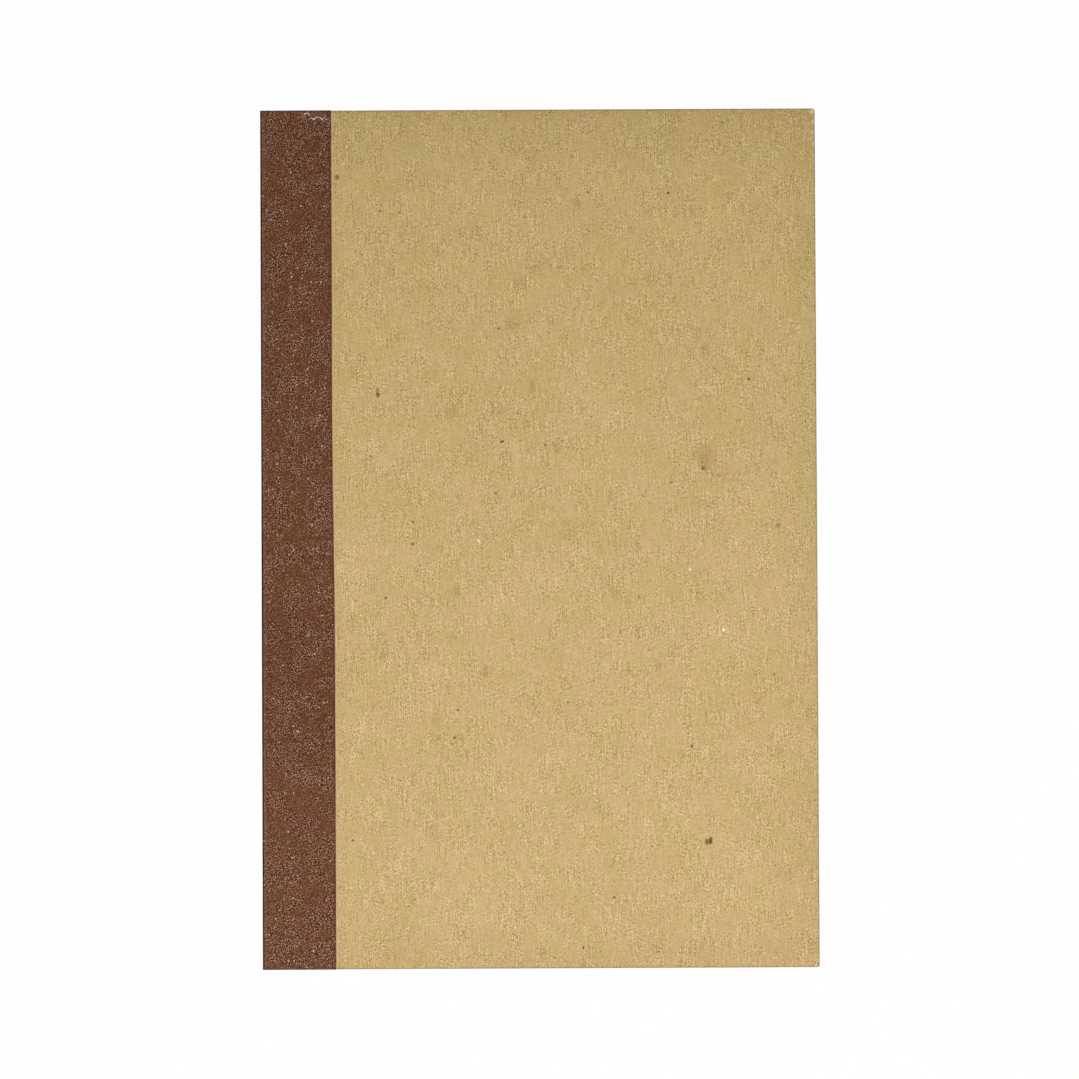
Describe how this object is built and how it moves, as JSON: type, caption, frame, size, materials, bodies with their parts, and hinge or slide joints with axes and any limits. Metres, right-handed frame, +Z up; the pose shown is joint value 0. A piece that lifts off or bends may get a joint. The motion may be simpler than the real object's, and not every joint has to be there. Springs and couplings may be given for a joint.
{
  "type": "watercolour pad",
  "caption": "Tape-bound watercolour pad: chipboard front cover and back board, a block of cold-press paper glued at the spine, and a brown binding tape wrapped over it.",
  "frame": {"origin": "middle of the pad's outline, on the surface that it lies on", "axes": "+X from the taped spine to the fore edge, +Y along the spine to the head of the pad, +Z up out of the front cover"},
  "size_m": [0.1396, 0.216, 0.0089],
  "materials": {
    "kraft_board": "matte",
    "back_board": "matte",
    "paper": "matte",
    "binding_tape": "satin",
    "padding_glue": "satin"
  },
  "bodies": {
    "spine_and_back": {"back_board": "back_board", "spine_tape": "binding_tape", "spine_glue": "padding_glue"},
    "front_cover": {"front_cover_board": "kraft_board", "front_tape": "binding_tape", "cover_edge_glue": "padding_glue"},
    "leaf_01": {"sheet_01": "paper"},
    "leaf_02": {"sheet_02": "paper"},
    "leaf_03": {"sheet_03": "paper"},
    "leaf_04": {"sheet_04": "paper"},
    "leaf_05": {"sheet_05": "paper"},
    "leaf_06": {"sheet_06": "paper"},
    "leaf_07": {"sheet_07": "paper"},
    "leaf_08": {"sheet_08": "paper"},
    "leaf_09": {"sheet_09": "paper"},
    "leaf_10": {"sheet_10": "paper"},
    "leaf_11": {"sheet_11": "paper"},
    "leaf_12": {"sheet_12": "paper"}
  },
  "joints": [
    {"name": "cover_hinge", "type": "hinge", "parent": "spine_and_back", "child": "front_cover", "pos_m": [-0.06988, 0, 0.00777], "axis": [0, -1, 0], "range_deg": [0, 182.7]},
    {"name": "leaf_01_turn", "type": "hinge", "parent": "spine_and_back", "child": "leaf_01", "pos_m": [-0.06988, 0, 0.00777], "axis": [0, -1, 0], "range_deg": [0, 180]},
    {"name": "leaf_02_turn", "type": "hinge", "parent": "spine_and_back", "child": "leaf_02", "pos_m": [-0.06988, 0, 0.00777], "axis": [0, -1, 0], "range_deg": [0, 180]},
    {"name": "leaf_03_turn", "type": "hinge", "parent": "spine_and_back", "child": "leaf_03", "pos_m": [-0.06988, 0, 0.00777], "axis": [0, -1, 0], "range_deg": [0, 180]},
    {"name": "leaf_04_turn", "type": "hinge", "parent": "spine_and_back", "child": "leaf_04", "pos_m": [-0.06988, 0, 0.00777], "axis": [0, -1, 0], "range_deg": [0, 180]},
    {"name": "leaf_05_turn", "type": "hinge", "parent": "spine_and_back", "child": "leaf_05", "pos_m": [-0.06988, 0, 0.00777], "axis": [0, -1, 0], "range_deg": [0, 180]},
    {"name": "leaf_06_turn", "type": "hinge", "parent": "spine_and_back", "child": "leaf_06", "pos_m": [-0.06988, 0, 0.00777], "axis": [0, -1, 0], "range_deg": [0, 180]},
    {"name": "leaf_07_turn", "type": "hinge", "parent": "spine_and_back", "child": "leaf_07", "pos_m": [-0.06988, 0, 0.00777], "axis": [0, -1, 0], "range_deg": [0, 180]},
    {"name": "leaf_08_turn", "type": "hinge", "parent": "spine_and_back", "child": "leaf_08", "pos_m": [-0.06988, 0, 0.00777], "axis": [0, -1, 0], "range_deg": [0, 180]},
    {"name": "leaf_09_turn", "type": "hinge", "parent": "spine_and_back", "child": "leaf_09", "pos_m": [-0.06988, 0, 0.00777], "axis": [0, -1, 0], "range_deg": [0, 180]},
    {"name": "leaf_10_turn", "type": "hinge", "parent": "spine_and_back", "child": "leaf_10", "pos_m": [-0.06988, 0, 0.00777], "axis": [0, -1, 0], "range_deg": [0, 180]},
    {"name": "leaf_11_turn", "type": "hinge", "parent": "spine_and_back", "child": "leaf_11", "pos_m": [-0.06988, 0, 0.00777], "axis": [0, -1, 0], "range_deg": [0, 180]},
    {"name": "leaf_12_turn", "type": "hinge", "parent": "spine_and_back", "child": "leaf_12", "pos_m": [-0.06988, 0, 0.00777], "axis": [0, -1, 0], "range_deg": [0, 180]}
  ],
  "couplings": [
    {"joint": "leaf_01_turn", "follows": "cover_hinge", "ratio": 0.9699},
    {"joint": "leaf_02_turn", "follows": "cover_hinge", "ratio": 0.9501},
    {"joint": "leaf_03_turn", "follows": "cover_hinge", "ratio": 0.928},
    {"joint": "leaf_04_turn", "follows": "cover_hinge", "ratio": 0.9045},
    {"joint": "leaf_05_turn", "follows": "cover_hinge", "ratio": 0.8797},
    {"joint": "leaf_06_turn", "follows": "cover_hinge", "ratio": 0.8539},
    {"joint": "leaf_07_turn", "follows": "cover_hinge", "ratio": 0.1314},
    {"joint": "leaf_08_turn", "follows": "cover_hinge", "ratio": 0.1055},
    {"joint": "leaf_09_turn", "follows": "cover_hinge", "ratio": 0.0808},
    {"joint": "leaf_10_turn", "follows": "cover_hinge", "ratio": 0.0572},
    {"joint": "leaf_11_turn", "follows": "cover_hinge", "ratio": 0.0352},
    {"joint": "leaf_12_turn", "follows": "cover_hinge", "ratio": 0.0153}
  ]
}
